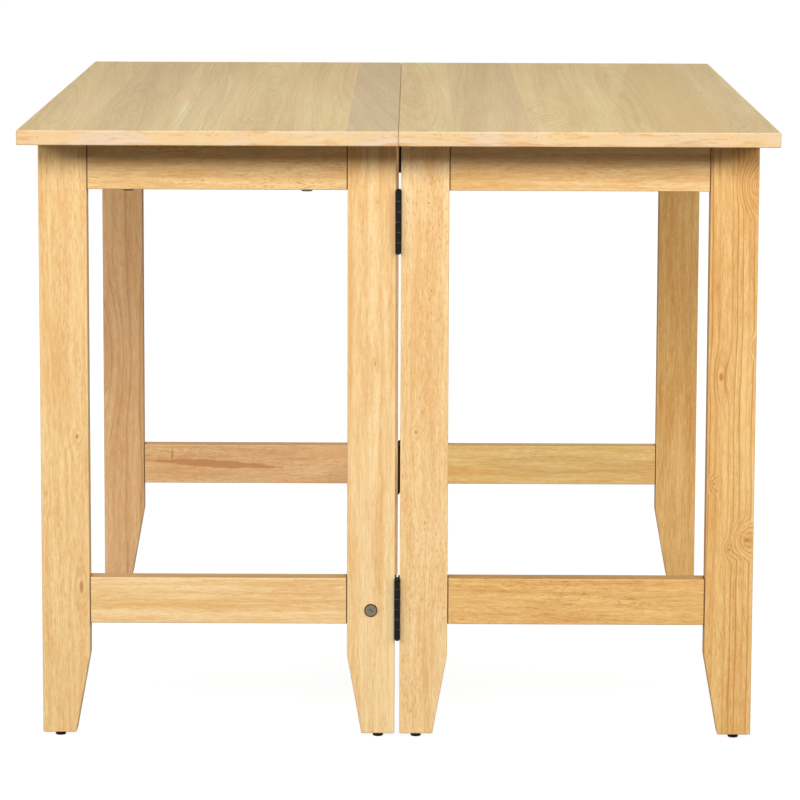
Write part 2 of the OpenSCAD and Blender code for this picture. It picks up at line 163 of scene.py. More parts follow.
def squeezed(tree, vector, amount):
    """A vector whose third number is multiplied: under 1 draws a pattern out, over 1 flattens it."""
    return vector_calc(tree, "MULTIPLY", vector, (1.0, 1.0, amount))


def own_place(tree):
    """The place in the object's own coordinates, which are those of the frame."""
    return tree.nodes.new("ShaderNodeTexCoord").outputs["Object"]


def split(tree, vector):
    """The three numbers of a vector."""
    return add(tree, "ShaderNodeSeparateXYZ", {0: vector}).outputs


def join(tree, x, y, z):
    """A vector from three numbers."""
    return first(tree, "ShaderNodeCombineXYZ", {0: x, 1: y, 2: z})


print("helpers for sums ready")

# %% Pattern helpers


def noise(tree, vector, scale, detail=2.0, rough=0.5):
    """Soft random values from 0 to 1 through space. Scale counts the blobs in a metre."""
    inputs = {"Vector": vector, "Scale": scale, "Detail": detail, "Roughness": rough}
    return first(tree, "ShaderNodeTexNoise", inputs)


def noise_along(tree, number, scale, detail=2.0):
    """Soft random values from 0 to 1 along one number."""
    inputs = {"W": number, "Scale": scale, "Detail": detail}
    return first(tree, "ShaderNodeTexNoise", inputs, noise_dimensions="1D")


def smooth(tree, value, start, end, low=0.0, high=1.0):
    """A soft step: low before start, high after end."""
    inputs = {"Value": value, 1: start, 2: end, 3: low, 4: high}
    return first(tree, "ShaderNodeMapRange", inputs, interpolation_type="SMOOTHSTEP")


def patches(tree, vector, scale, detail, start, end, low=0.0, high=1.0):
    """Noise cut into soft patches: low where it is under start, high where it is over end."""
    return smooth(tree, noise(tree, vector, scale, detail), start, end, low, high)


def mix(tree, factor, a, b):
    """Two colours mixed."""
    return add(tree, "ShaderNodeMix", {0: factor, 6: a, 7: b}, data_type="RGBA").outputs[2]


def rgb(red, green, blue):
    """A colour as seen on a screen, 0 to 255, turned into the linear values that a shader needs."""
    def linear(value):
        value = value / 255
        return value / 12.92 if value <= 0.04045 else ((value + 0.055) / 1.055) ** 2.4
    return (linear(red), linear(green), linear(blue), 1.0)


print("helpers for patterns ready")

# %% Group helpers


def new_group(name, inputs, outputs):
    """A shader group with named sockets. Three numbers make a vector input, and four a colour."""
    tree = bpy.data.node_groups.new(name, "ShaderNodeTree")
    for label, value in inputs.items():
        kind = {3: VECTOR, 4: COLOUR}[len(value)] if isinstance(value, tuple) else FLOAT
        tree.interface.new_socket(label, in_out="INPUT", socket_type=kind).default_value = value
    for label, kind in outputs.items():
        tree.interface.new_socket(label, in_out="OUTPUT", socket_type=kind)
    return tree, tree.nodes.new("NodeGroupInput").outputs


def give(tree, *values):
    """Links the results of a group, in the order of its outputs."""
    for value, socket in zip(values, tree.nodes.new("NodeGroupOutput").inputs):
        tree.links.new(value, socket)


def use(tree, group, inputs):
    """Places a group in a tree and returns its outputs."""
    return add(tree, "ShaderNodeGroup", inputs, node_tree=group).outputs


print("helpers for groups ready")

# %% [markdown]
# ## The studio
# A product like this is photographed on a white sweep, in front of an arc of large soft lights. The
# floor is white only for the camera and for reflections. For the light that bounces it is a mid grey, or
# it would fill in every shadow under the table. The world is made in the same way: white to look at,
# but only a faint warm light on the object, like the light that wood throws on wood.

# %% Floor and world
FLOOR_SIZE = 60.0
FLOOR_GLOW = 0.93
GLOW_START = 0.9
GLOW_FULL = 3.0
MIRRORED = 0.35


def seen_share(tree):
    """1 for what the camera sees, less for what it sees in a reflection, and 0 for other light."""
    rays = tree.nodes.new("ShaderNodeLightPath").outputs
    return calc(tree, "MAXIMUM", rays["Is Camera Ray"], times(tree, rays["Is Glossy Ray"], MIRRORED))


floor_mesh = bpy.data.meshes.new("floor")
half = FLOOR_SIZE / 2
corners = [(-half, -half, 0), (half, -half, 0), (half, half, 0), (-half, half, 0)]
floor_mesh.from_pydata(corners, [], [(0, 1, 2, 3)])
floor = bpy.data.objects.new("floor", floor_mesh)
show(floor)

floor_material = bpy.data.materials.new("white sweep")
floor_material.use_nodes = True
tree = floor_material.node_tree
tree.nodes.clear()
seen = seen_share(tree)
grey = first(tree, "ShaderNodeBsdfDiffuse", {"Color": (0.16, 0.16, 0.16, 1)})
from_middle = vector_calc(tree, "LENGTH", own_place(tree))
whiteness = smooth(tree, from_middle, GLOW_START, GLOW_FULL, FLOOR_GLOW, 1.0)
glow = first(tree, "ShaderNodeEmission", {"Strength": times(tree, seen, whiteness)})
both = first(tree, "ShaderNodeAddShader", {0: grey, 1: glow})
add(tree, "ShaderNodeOutputMaterial", {"Surface": both})
floor_mesh.materials.append(floor_material)

WORLD_FILL = 0.09
WARM_FILL = (1.0, 0.88, 0.76, 1)
world = bpy.data.worlds.new("studio")
world.use_nodes = True
bpy.context.scene.world = world
tree = world.node_tree
tree.nodes.clear()
seen = seen_share(tree)
strength = calc(tree, "MAXIMUM", seen, WORLD_FILL)
plain_or_warm = mix(tree, seen, WARM_FILL, WHITE)
background = first(tree, "ShaderNodeBackground", {"Color": plain_or_warm, "Strength": strength})
add(tree, "ShaderNodeOutputWorld", {"Surface": background})
print("floor", FLOOR_SIZE, "m wide, world fill", WORLD_FILL)

# %% [markdown]
# ## The lights
# Three rectangles stand in an arc in front. The top of the table hides their upper parts from the
# aprons, and that draws the soft dark band under the overhang: one small bright lamp would draw a hard
# edge there. A weak light overhead makes the front half of the top a little brighter than the rear, a
# very weak one under the top opens the shade on the rear frame, and one behind does the same for its
# back. The fills are hidden from reflections, and so are the side lights, because the lacquer of the top
# would mirror them as pale sheets in a view from behind.

# %% Lights


def soft_light(name, place, target, width, height, watts):
    """A rectangular soft light that points at its target."""
    data = bpy.data.lights.new(name, "AREA")
    data.shape = "RECTANGLE"
    data.size = width
    data.size_y = height
    data.energy = watts
    lamp = bpy.data.objects.new(name, data)
    lamp.location = place
    direction = Vector(target) - Vector(place)
    lamp.rotation_euler = direction.to_track_quat("-Z", "Y").to_euler()
    show(lamp)
    print(name, "at", place, watts, "W")
    return lamp


AIM = (0.0, -0.3, 0.45)

soft_light("middle softbox", (0.0, -4.9, 2.6), AIM, 3.2, 1.4, 132.0)
for name, across in (("left softbox", -3.3), ("right softbox", 3.3)):
    side_light = soft_light(name, (across, -3.5, 2.0), AIM, 3.2, 0.8, 82.0)
    side_light.visible_glossy = False
soft_light("overhead softbox", (0.0, -0.15, 2.6), (0.0, -0.15, 0.0), 2.4, 1.2, 14.0)
under_fill = soft_light("under fill", (0.0, -0.42, 0.60), (0.0, 0.50, 0.44), 0.7, 0.14, 0.75)
under_fill.data.spread = math.radians(100)
under_fill.visible_glossy = False
under_fill.visible_camera = False
rear_fill = soft_light("rear fill", (0.0, 3.8, 2.7), (0.0, 0.0, 0.4), 3.0, 1.2, 60.0)
rear_fill.visible_glossy = False

# %% [markdown]
# ## Wood, first part: the grain flows round a knot
# A branch starts inside the trunk, and the year rings swell where they pass it. On the sawn face that
# gives closed eyes, or lines that part and meet again. This group works in space, so a knot runs on
# round the edge of a board: near a centre it adds a little to the distance from the heart of the trunk,
# and the rings do the rest.

# %% Knot group
# where the dark eye fades in, how dark the ring round it is, and how far the fibres follow the rings
EYE = (0.13, 0.05)
HALO_DEPTH = 0.14
PUSH_SHARE = 0.7


def make_knot_group():
    """Near its centre it gives a swelling for the rings, a push for the fibres, and a dark core."""
    sockets = {"Vector": ZERO, "Centre": ZERO, "Radius": 0.02, "Stretch": 2.5, "Swelling": 0.01}
    results = {"Bend": FLOAT, "Push": VECTOR, "Core": FLOAT}
    tree, given = new_group("knot", sockets, results)
    away = split(tree, vector_calc(tree, "SUBTRACT", given["Vector"], given["Centre"]))
    along = calc(tree, "DIVIDE", away[2], given["Stretch"])
    flat = join(tree, away[0], away[1], along)
    share = calc(tree, "DIVIDE", vector_calc(tree, "LENGTH", flat), given["Radius"])
    bend = times(tree, smooth(tree, share, 1.0, 0.0), given["Swelling"])
    push = scaled(tree, vector_calc(tree, "NORMALIZE", flat), times(tree, bend, PUSH_SHARE))
    eye = smooth(tree, share, *EYE)
    halo = times(tree, smooth(tree, share, 0.20, 0.28), smooth(tree, share, 0.42, 0.30))
    core = calc(tree, "MAXIMUM", eye, times(tree, halo, HALO_DEPTH))
    give(tree, bend, push, core)
    return tree


KNOT = make_knot_group()
print("group:", KNOT.name, "with", len(KNOT.nodes), "nodes")

# %% [markdown]
# ## Wood, second part: the figure
# This timber is pale and honey coloured. Its year rings are faint, its pores show as short darker
# dashes along the grain, and soft stripes run the length of a board. All of that is one solid pattern:
# the board is cut from it, so the face, the edge and the end agree, as they do in real wood.
#
# The third number of the vector runs along the grain. Noise that is squeezed on that axis makes the
# stripes, streaks, fibres and pores, from coarse to fine. The rings come from the distance to the heart
# of the trunk. A slow noise makes them wander, and the fibres drift with it, because both grew together.
# Knots bend the rings and push the fibres aside. One more noise makes good and bad years, so that the
# gaps between the rings differ and some rings hardly show.

# %% Rings and pores


def year_rings(tree, given, wobble):
    """The dark line that ends each year, and a slow value that changes over the years."""
    bent = vector_calc(tree, "ADD", given["Vector"], scaled(tree, wobble, given["Wander"]))
    away = vector_calc(tree, "SUBTRACT", bent, given["Heart"])
    away = vector_calc(tree, "MULTIPLY", away, join(tree, 1.0, 1.0, given["Taper"]))
    distance = plus(tree, vector_calc(tree, "LENGTH", away), given["Bend"])
    even_year = calc(tree, "DIVIDE", distance, given["Ring Width"])
    year = plus(tree, even_year, centred(tree, noise_along(tree, even_year, 0.6, 1.0), 1.0))
    growth = calc(tree, "FRACT", year)
    late_wood = times(tree, calc(tree, "POWER", growth, 5.0), smooth(tree, growth, 1.0, 0.93))
    good_year = smooth(tree, noise_along(tree, year, 0.43, 1.0), 0.32, 0.60)
    near_knot = smooth(tree, given["Bend"], 0.0005, 0.004)
    line = times(tree, late_wood, calc(tree, "MAXIMUM", good_year, near_knot))
    return line, noise_along(tree, year, 0.19, 2.0)


def pore_dashes(tree, place):
    """Short dashes along the grain, crowded in some places and few in others."""
    dash = patches(tree, squeezed(tree, place, 0.14), 1000.0, 1.0, 0.57, 0.68)
    return times(tree, dash, patches(tree, squeezed(tree, place, 0.25), 30.0, 1.0, 0.35, 0.65, 0.3))


print("rings and pores ready")

# %% Wood group


def make_wood_group():
    """The colour, gloss and relief of sawn and lacquered wood."""
    sockets = {"Vector": ZERO, "Seed": 0.0, "Heart": ZERO, "Taper": 0.045, "Ring Width": 0.006}
    sockets |= {"Wander": 0.012, "Drift": 0.016, "Bend": 0.0, "Push": ZERO, "Core": 0.0}
    sockets |= {"Rings": 0.5, "Stripes": 0.5, "Streaks": 1.0, "Pores": 0.5}
    sockets |= {"Pale": WHITE, "Deep": WHITE, "Dark": WHITE}
    results = {"Color": COLOUR, "Roughness": FLOAT, "Height": FLOAT}
    tree, given = new_group("wood figure", sockets, results)
    seed = join(tree, given["Seed"], times(tree, given["Seed"], 1.7), given["Seed"])
    shifted = vector_calc(tree, "ADD", given["Vector"], seed)

    slow = {"Vector": squeezed(tree, shifted, 0.3), "Scale": 9.0, "Detail": 2.0}
    wobble = add(tree, "ShaderNodeTexNoise", slow)
    wobble = vector_calc(tree, "SUBTRACT", wobble.outputs["Color"], (0.5, 0.5, 0.5))

    line, decade = year_rings(tree, given, wobble)
    drifted = vector_calc(tree, "ADD", shifted, scaled(tree, wobble, given["Drift"]))
    drifted = vector_calc(tree, "SUBTRACT", drifted, given["Push"])

    stripe = noise(tree, squeezed(tree, drifted, 0.045), 62.0, 2.0)
    streak = noise(tree, squeezed(tree, drifted, 0.055), 170.0, 3.0, 0.6)
    fibre = noise(tree, squeezed(tree, drifted, 0.090), 620.0, 3.0, 0.7)
    cloud = noise(tree, squeezed(tree, drifted, 0.3), 7.0, 2.0)
    dash = pore_dashes(tree, drifted)

    broad = plus(tree, centred(tree, stripe, 2.1), centred(tree, decade, 1.6))
    broad = times(tree, broad, given["Stripes"])
    fine = plus(tree, centred(tree, streak, 1.3), centred(tree, fibre, 1.9))
    fine = times(tree, fine, given["Streaks"])
    tone = plus(tree, plus(tree, broad, fine), centred(tree, cloud, 1.1))
    tone = first(tree, "ShaderNodeClamp", {0: plus(tree, tone, 0.5)})
    colour = mix(tree, tone, given["Pale"], given["Deep"])
    colour = mix(tree, times(tree, line, given["Rings"]), colour, given["Dark"])
    colour = mix(tree, times(tree, dash, given["Pores"]), colour, given["Dark"])
    colour = mix(tree, times(tree, given["Core"], 0.8), colour, given["Dark"])

    gloss = plus(tree, 0.45, centred(tree, fibre, 0.16))
    gloss = plus(tree, gloss, times(tree, dash, 0.12))
    relief = plus(tree, centred(tree, fibre, 0.5), times(tree, dash, -0.4))
    relief = plus(tree, relief, times(tree, line, -0.1))
    give(tree, colour, gloss, relief)
    return tree


WOOD = make_wood_group()
print("group:", WOOD.name, "with", len(WOOD.nodes), "nodes")

# %% [markdown]
# ## Eased edges
# Sandpaper takes a little colour and figure off the corners of a board. The boxes of the boards are
# known exactly, so this group measures: it takes the distance to each pair of faces, and where the
# second smallest is short, the point is near an edge.

# %% Edge group


def make_edge_group():
    """A mask that is 1 on the edges of a box and fades over a width."""
    sockets = {"Vector": ZERO, "Centre": ZERO, "Half Size": ZERO, "Width": 0.003}
    tree, given = new_group("eased edges", sockets, {"Mask": FLOAT})
    away = vector_calc(tree, "SUBTRACT", given["Vector"], given["Centre"])
    inside = vector_calc(tree, "SUBTRACT", given["Half Size"], vector_calc(tree, "ABSOLUTE", away))
    x, y, z = split(tree, inside)[0:3]
    near = calc(tree, "MINIMUM", x, y)
    far = calc(tree, "MAXIMUM", x, y)
    second = calc(tree, "MAXIMUM", near, calc(tree, "MINIMUM", far, z))
    patchy = noise(tree, given["Vector"], 60.0, 2.0)
    reach = times(tree, given["Width"], plus(tree, patchy, 0.5))
    give(tree, smooth(tree, calc(tree, "DIVIDE", second, reach), 1.0, 0.2))
    return tree


EDGES = make_edge_group()
print("group:", EDGES.name, "with", len(EDGES.nodes), "nodes")

# %% [markdown]
# ## The boards of the frames
# No two boards on the real table match: each was sawn from another place in the trunk. So each board
# gets a material of its own, made by one function from a short list: the way that its grain runs, a
# seed, a tint, where the heart of the trunk lay, and any knots or mineral stains. A tint has a pale, a
# deep and a dark colour. A rail also has a thin dark line at each shoulder, where it meets its leg: it
# is part glue line and part painted shade of the narrow gap at the joint.

# %% Tints and boards
TINTS = {
    "honey": (rgb(254, 222, 164), rgb(230, 178, 108), rgb(196, 126, 60)),
    "straw": (rgb(255, 224, 168), rgb(234, 183, 116), rgb(214, 142, 70)),
    "amber": (rgb(248, 208, 138), rgb(220, 160, 84), rgb(190, 116, 50)),
    "tan": (rgb(246, 204, 150), rgb(222, 166, 108), rgb(166, 100, 54)),
    "toffee": (rgb(247, 212, 150), rgb(222, 168, 98), rgb(180, 108, 48)),
    "gold": (rgb(255, 222, 152), rgb(234, 180, 100), rgb(188, 114, 46)),
    "rose": (rgb(255, 216, 160), rgb(232, 176, 118), rgb(172, 106, 60)),
}

# grain, seed, tint, heart from the board's middle, ring width, rings, stripes, pores
BOARDS = {
    "front_outer_leg": ("Z", 1.3, "honey", (0.12, 0.09, 0.0), 0.007, 0.18, 0.30, 0.35),
    "front_inner_leg": ("Z", 4.1, "straw", (-0.16, 0.03, 0.1), 0.009, 0.30, 1.05, 0.30),
    "rear_outer_leg": ("Z", 7.7, "tan", (0.05, 0.07, 0.0), 0.009, 0.55, 0.30, 0.25),
    "rear_inner_leg": ("Z", 9.2, "tan", (0.10, 0.04, 0.0), 0.008, 0.30, 0.30, 0.25),
    "front_apron": ("X", 2.6, "toffee", (0.02, 0.05, 0.1), 0.006, 0.25, 0.40, 0.50),
    "rear_apron": ("X", 5.9, "tan", (0.03, -0.06, 0.0), 0.007, 0.30, 0.50, 0.35),
    "front_stretcher": ("X", 3.4, "straw", (0.05, 0.04, 0.0), 0.007, 0.30, 0.70, 0.40),
    "rear_stretcher": ("X", 8.3, "rose", (0.00, 0.05, -0.09), 0.008, 0.60, 0.60, 0.45),
    "long_stretcher": ("Y", 6.1, "honey", (0.08, 0.03, 0.0), 0.007, 0.30, 0.55, 0.35),
    "front_gate_inner_leg": ("Z", 11.5, "straw", (0.11, 0.05, 0.0), 0.008, 0.25, 0.45, 0.60),
    "front_gate_outer_leg": ("Z", 13.8, "amber", (-0.09, 0.02, 0.2), 0.0068, 1.3, 0.45, 0.35),
    "front_gate_apron": ("X", 15.2, "honey", (-0.07, 0.04, 0.1), 0.010, 0.30, 0.75, 0.35),
    "front_gate_stretcher": ("X", 17.6, "amber", (0.04, 0.09, 0.0), 0.006, 0.15, 0.30, 0.65),
    "rear_gate_inner_leg": ("Z", 19.1, "tan", (-0.10, 0.04, 0.0), 0.008, 0.25, 0.30, 0.25),
    "rear_gate_outer_leg": ("Z", 21.4, "amber", (0.09, 0.05, 0.0), 0.009, 0.20, 0.30, 0.25),
    "rear_gate_apron": ("X", 23.3, "tan", (0.03, 0.06, 0.0), 0.007, 0.30, 0.50, 0.35),
    "rear_gate_stretcher": ("X", 25.7, "gold", (0.00, 0.03, 0.1), 0.009, 0.60, 0.60, 0.35),
    "gate_stops": ("X", 27.2, "honey", (0.05, 0.04, 0.0), 0.006, 0.30, 0.50, 0.40),
    "stretcher_dowels": ("Y", 29.6, "straw", (0.05, 0.04, 0.0), 0.006, 0.20, 0.40, 0.40),
}

# knots on the front faces: x, z and radius in mm, stretch, swelling in mm
KNOTS = {
    "front_outer_leg": [(-394, 378, 20, 1.6, 10), (-390, 190, 26, 3.2, 12)],
    "front_inner_leg": [(-26, 669, 9, 2.0, 5), (-28, 470, 12, 2.2, 4)],
    "front_gate_inner_leg": [
        (37, 668, 13, 1.4, 7),
        (40, 560, 15, 1.3, 7),
        (22, 385, 17, 1.5, 8),
        (34, 272, 12, 2.0, 5),
    ],
    "front_gate_outer_leg": [
        (440, 690, 34, 1.3, 32),
        (396, 455, 20, 2.6, 7),
        (439, 492, 14, 1.5, 14),
        (389, 322, 14, 1.2, 10),
        (409, 240, 15, 1.3, 12),
        (430, 252, 26, 1.2, 30),
    ],
    "rear_outer_leg": [(-445, 330, 62, 2.6, 20)],
    "rear_gate_outer_leg": [(400, 600, 12, 2.0, 6)],
}

# stains on the front faces: x, z, half length along the grain and half height in mm, lean
STAINS = {"rear_stretcher": [(-274, 173.5, 108, 5.8, -0.052), (-338, 187, 1.8, 12, 0.0)]}
STAIN_COLOUR = rgb(204, 142, 84)

AXES = {"X": (2, 1, 0), "Y": (0, 2, 1), "Z": (0, 1, 2)}
TENON = 0.022
# width and colour of the dark line at the rail shoulders: part glue line, part painted shade of the gap
JOINT_LINE = 0.0018
GLUE_AND_GAP_SHADE = rgb(72, 38, 16)
EASED_WIDTH = 0.0028
EASED_SHARE = 0.35
print("boards to finish:", len(BOARDS))

# %% Material helpers


def new_material(name):
    """A material, its node tree, its Principled shader, and the place in object coordinates."""
    material = bpy.data.materials.new(name)
    material.use_nodes = True
    tree = material.node_tree
    return material, tree, tree.nodes["Principled BSDF"], own_place(tree)


def turned(tree, vector, grain):
    """The same place with its third number along the grain."""
    parts = split(tree, vector)
    return join(tree, *[parts[axis] for axis in AXES[grain]])


def turned_values(values, grain):
    """Three plain numbers in the same order as turned() gives."""
    return Vector([values[axis] for axis in AXES[grain]])


def knot_at(tree, board, centre, radius, stretch, swelling):
    """Places the knot group in a board, with its radius and swelling in mm."""
    inputs = {"Vector": board, "Centre": centre, "Radius": radius / 1000}
    return use(tree, KNOT, inputs | {"Stretch": stretch, "Swelling": swelling / 1000})


def dress(tree, shader, colour, gloss, height, strength=0.25, depth=0.0001):
    """Links a colour and a gloss to the shader, and a height through a Bump node to its normal."""
    bump = add(tree, "ShaderNodeBump", {"Strength": strength, "Distance": depth, "Height": height})
    tree.links.new(colour, shader.inputs["Base Color"])
    tree.links.new(gloss, shader.inputs["Roughness"])
    tree.links.new(bump.outputs[0], shader.inputs["Normal"])


WOOD_RELIEF = 0.0004
print("wood relief", WOOD_RELIEF, "m deep")

# %% Board material


def stained(tree, board, grain, colour, stains, face):
    """Mineral stains: pointed at both ends, with a ragged edge."""
    ragged = centred(tree, noise(tree, squeezed(tree, board, 0.2), 330.0, 3.0), 1.2)
    for x, z, reach, height, lean in stains:
        centre = turned_values((x / 1000, face, z / 1000), grain)
        away = split(tree, vector_calc(tree, "SUBTRACT", board, centre))
        across = minus(tree, away[0], times(tree, away[2], lean))
        across = calc(tree, "DIVIDE", calc(tree, "ABSOLUTE", across), height / 1000)
        along = calc(tree, "DIVIDE", calc(tree, "ABSOLUTE", away[2]), reach / 1000)
        share = plus(tree, plus(tree, across, calc(tree, "POWER", along, 2.0)), ragged)
        mask = times(tree, smooth(tree, share, 1.05, 0.75), 0.8)
        colour = mix(tree, mask, colour, STAIN_COLOUR)
    return colour


def board_material(name):
    """The finish of one board of a frame."""
    grain, seed, tint, heart, ring_width, rings, stripes, pores = BOARDS[name]
    low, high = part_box(name)
    centre = (low + high) / 2
    material, tree, shader, place = new_material(name + " wood")
    board = turned(tree, place, grain)
    bend, core, push = 0.0, 0.0, ZERO
    for x, z, *sizes in KNOTS.get(name, []):
        knot = knot_at(tree, board, turned_values((x / 1000, low.y, z / 1000), grain), *sizes)
        bend = plus(tree, bend, knot["Bend"])
        push = vector_calc(tree, "ADD", push, knot["Push"])
        core = calc(tree, "MAXIMUM", core, knot["Core"])
    pale, deep, dark = TINTS[tint]
    inputs = {"Vector": board, "Seed": seed, "Heart": turned_values(centre, grain) + Vector(heart)}
    inputs |= {"Ring Width": ring_width, "Bend": bend, "Push": push, "Core": core, "Rings": rings}
    inputs |= {"Stripes": stripes, "Pores": pores, "Pale": pale, "Deep": deep, "Dark": dark}
    wood = use(tree, WOOD, inputs)
    inputs = {"Vector": place, "Centre": centre, "Half Size": (high - low) / 2, "Width": EASED_WIDTH}
    edge = use(tree, EDGES, inputs)["Mask"]
    colour = mix(tree, times(tree, edge, EASED_SHARE), wood["Color"], pale)
    if name in STAINS:
        colour = stained(tree, board, grain, colour, STAINS[name], low.y)
    # the dark line at each shoulder is part glue line and part painted shade of the narrow gap where the
    # rail meets its leg
    if grain == "X" and name != "gate_stops":
        shoulder = (high.x - low.x) / 2 - TENON
        from_middle = calc(tree, "ABSOLUTE", minus(tree, split(tree, place)[0], centre.x))
        joint = smooth(tree, from_middle, shoulder - JOINT_LINE, shoulder - JOINT_LINE / 2)
        colour = mix(tree, times(tree, joint, 0.9), colour, GLUE_AND_GAP_SHADE)
    dress(tree, shader, colour, wood["Roughness"], wood["Height"], depth=WOOD_RELIEF)
    return material


def paint(name, material):
    """Puts one material on a piece of the frame."""
    mesh = nodes[name].data
    mesh.materials.clear()
    mesh.materials.append(material)


for name in BOARDS:
    paint(name, board_material(name))
print("finished boards:", ", ".join(BOARDS))

# %% [markdown]
# ## The two tops
# Each top is glued up from planks of different widths, and each plank has its own shade. One list gives
# the planks from left to right: where each ends, its shade, where its heart lay, and how far its grain
# leans, because no plank is sawn quite parallel to the trunk. A colour ramp with hard steps turns the
# place across the top into the number that belongs to the plank. The figure of the frames is used again.
# It is drawn out along the planks, so that it makes long flames on the face, and the knot group gives
# the flames their closed eyes.

# %% Plank list
# right end in mm, shade from cool 0 to warm 1, depth from light 0 to dark 1, heart across in mm,
# seed, and how far the grain leans over a metre, in mm
PLANKS = [
    (-380, 0.55, 0.35, -445, 0.31, -45),
    (-297, 0.40, 0.60, -350, 0.83, -20),
    (-225, 0.55, 0.38, -320, 0.12, -25),
    (-150, 0.65, 0.30, -175, 0.47, -10),
    (-64, 0.65, 0.33, -60, 0.66, 0),
    (0, 0.12, 0.66, 60, 0.94, -80),
    (66, 0.60, 0.18, 20, 0.22, -12),
    (160, 0.45, 0.60, 190, 0.58, 10),
    (396, 0.75, 0.10, 300, 0.05, 10),
    (458, 0.50, 0.40, 520, 0.39, 15),
]
PLANKS_START = -458
SHADE, DEPTH, HEART, SEED, LEAN = range(1, 6)

# a ramp holds only 0 to 1, so lengths in mm are divided and then lifted
IN_MM = (1000, 0.5)

# x, y and radius in mm, stretch, swelling in mm
SWIRLS = [
    (204, -290, 54, 7.0, 45),
    (-175, 220, 24, 6.0, 15),
    (-172, -420, 36, 4.8, 20),
    (430, -470, 36, 5.2, 20),
    (-352, -410, 32, 4.2, 12),
    (107, -230, 26, 4.2, 10),
    (29, 100, 24, 4.5, 10),
]
SMALL_KNOT = (406, 30, 24, 2.6, 8)


def by_plank(tree, across, column, unit=1, lift=0.0):
    """One column of the list, at this place across the top."""
    ramp = tree.nodes.new("ShaderNodeValToRGB")
    ramp.color_ramp.interpolation = "CONSTANT"
    stops = ramp.color_ramp.elements
    stops.remove(stops[1])
    start = PLANKS_START
    for plank in PLANKS:
        spot = start / 1000 + 0.5
        value = plank[column] / unit + lift
        stop = stops[0] if start == PLANKS_START else stops.new(spot)
        stop.position = spot
        stop.color = (value, value, value, 1)
        start = plank[0]
    tree.links.new(plus(tree, across, 0.5), ramp.inputs[0])
    return minus(tree, split(tree, ramp.outputs[0])[0], lift)


print("planks:", len(PLANKS))

# %% [markdown]
# ## What is drawn on the tops one by one
# Noise gives a likely plank, but not this one. Four things are placed by measure: the closed eyes, the
# curved line where the dark heart of one wide plank begins, a few thin mineral streaks, and the end
# grain. End grain drinks more lacquer and shows its rings as short arcs, so it gets its own peach
# colours on the two narrow faces.

# %% Details of the tops
TOP_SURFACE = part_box("fixed_top")[1].z
TOP_MIDDLE = TOP_SURFACE - 0.009
END_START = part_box("fixed_top")[1].y - 0.0017
END_ROUNDING = 0.0014

# the border bulges to the left at its belly, starts softly, and ends where the plank ends
BELLY = -0.2
BULGE = 0.078
BORDER = (0.291, 0.298)
BORDER_END = (0.41, 0.39)

# the streaks keep within a band of one plank
STREAKS_ACROSS = -0.245
STREAKS_BAND = (0.06, 0.03)


def end_colour(tree, place):
    """Peach end grain: cool patches, orange streaks and a few dark flecks near the upper edge."""
    cool = patches(tree, squeezed(tree, place, 2.5), 13.0, 3.0, 0.42, 0.62)
    colour = mix(tree, cool, rgb(238, 202, 150), rgb(236, 208, 180))
    streaks = smooth(tree, noise(tree, squeezed(tree, place, 7.0), 24.0, 4.0, 0.6), 0.50, 0.68)
    colour = mix(tree, times(tree, streaks, 0.85), colour, rgb(226, 166, 98))
    flecks = patches(tree, squeezed(tree, place, 5.0), 150.0, 2.0, 0.66, 0.74)
    near_top = smooth(tree, split(tree, place)[2], TOP_MIDDLE - 0.004, TOP_MIDDLE + 0.006)
    return mix(tree, times(tree, flecks, near_top), colour, rgb(150, 98, 60))


def top_knot(tree, board, x, y, *sizes):
    """A knot on the upper face of the tops."""
    return knot_at(tree, board, (x / 1000, TOP_SURFACE, y / 1000), *sizes)


def top_swirls(tree, board):
    """The swelling of all the closed eyes in the tops, and a mask that is high near any of them."""
    bend, near = 0.0, 0.0
    for swirl in SWIRLS:
        swell = top_knot(tree, board, *swirl)["Bend"]
        bend = plus(tree, bend, swell)
        near = calc(tree, "MAXIMUM", near, calc(tree, "DIVIDE", swell, swirl[-1] / 1000))
    return bend, near


def curved_border(tree, across, back):
    """The darker heart of one wide plank of the leaf, which starts at a curved line."""
    from_belly = minus(tree, back, BELLY)
    bow = times(tree, times(tree, from_belly, from_belly), BULGE)
    begun = smooth(tree, minus(tree, across, bow), *BORDER)
    return times(tree, begun, smooth(tree, across, *BORDER_END))


def pale_streaks(tree, across, back):
    """A few long and thin mineral streaks in the middle of the fixed top."""
    leaning = plus(tree, across, times(tree, back, 0.016))
    place = join(tree, leaning, 0.0, times(tree, back, 0.02))
    thin = patches(tree, place, 75.0, 1.0, 0.56, 0.66)
    from_middle = calc(tree, "ABSOLUTE", minus(tree, across, STREAKS_ACROSS))
    return times(tree, thin, smooth(tree, from_middle, *STREAKS_BAND))


print("top surface at", round(TOP_SURFACE, 4), "m, end faces from", round(END_START, 4), "m")

# %% Top material
LONGER = 0.4
HEART_DEPTH = 0.03
HEART_REACH = 1.2


def plank_colours(tree, across, back, long_board):
    """The pale and the deep colour of each plank, with its blush, its heart and its streaks."""
    shade = by_plank(tree, across, SHADE)
    depth = by_plank(tree, across, DEPTH)
    depth = plus(tree, depth, times(tree, curved_border(tree, across, back), 1.1))
    warm = mix(tree, shade, rgb(241, 220, 176), rgb(255, 235, 166))
    deep = mix(tree, shade, rgb(206, 180, 142), rgb(236, 201, 134))
    blush = patches(tree, long_board, 9.0, 2.0, 0.42, 0.62, 0.0, 0.7)
    blush = times(tree, blush, smooth(tree, shade, 0.0, 0.4))
    warm = mix(tree, blush, warm, rgb(252, 220, 172))
    pale = mix(tree, times(tree, depth, 0.55), warm, deep)
    streaks = times(tree, pale_streaks(tree, across, back), 0.8)
    return mix(tree, streaks, pale, rgb(255, 242, 196)), deep


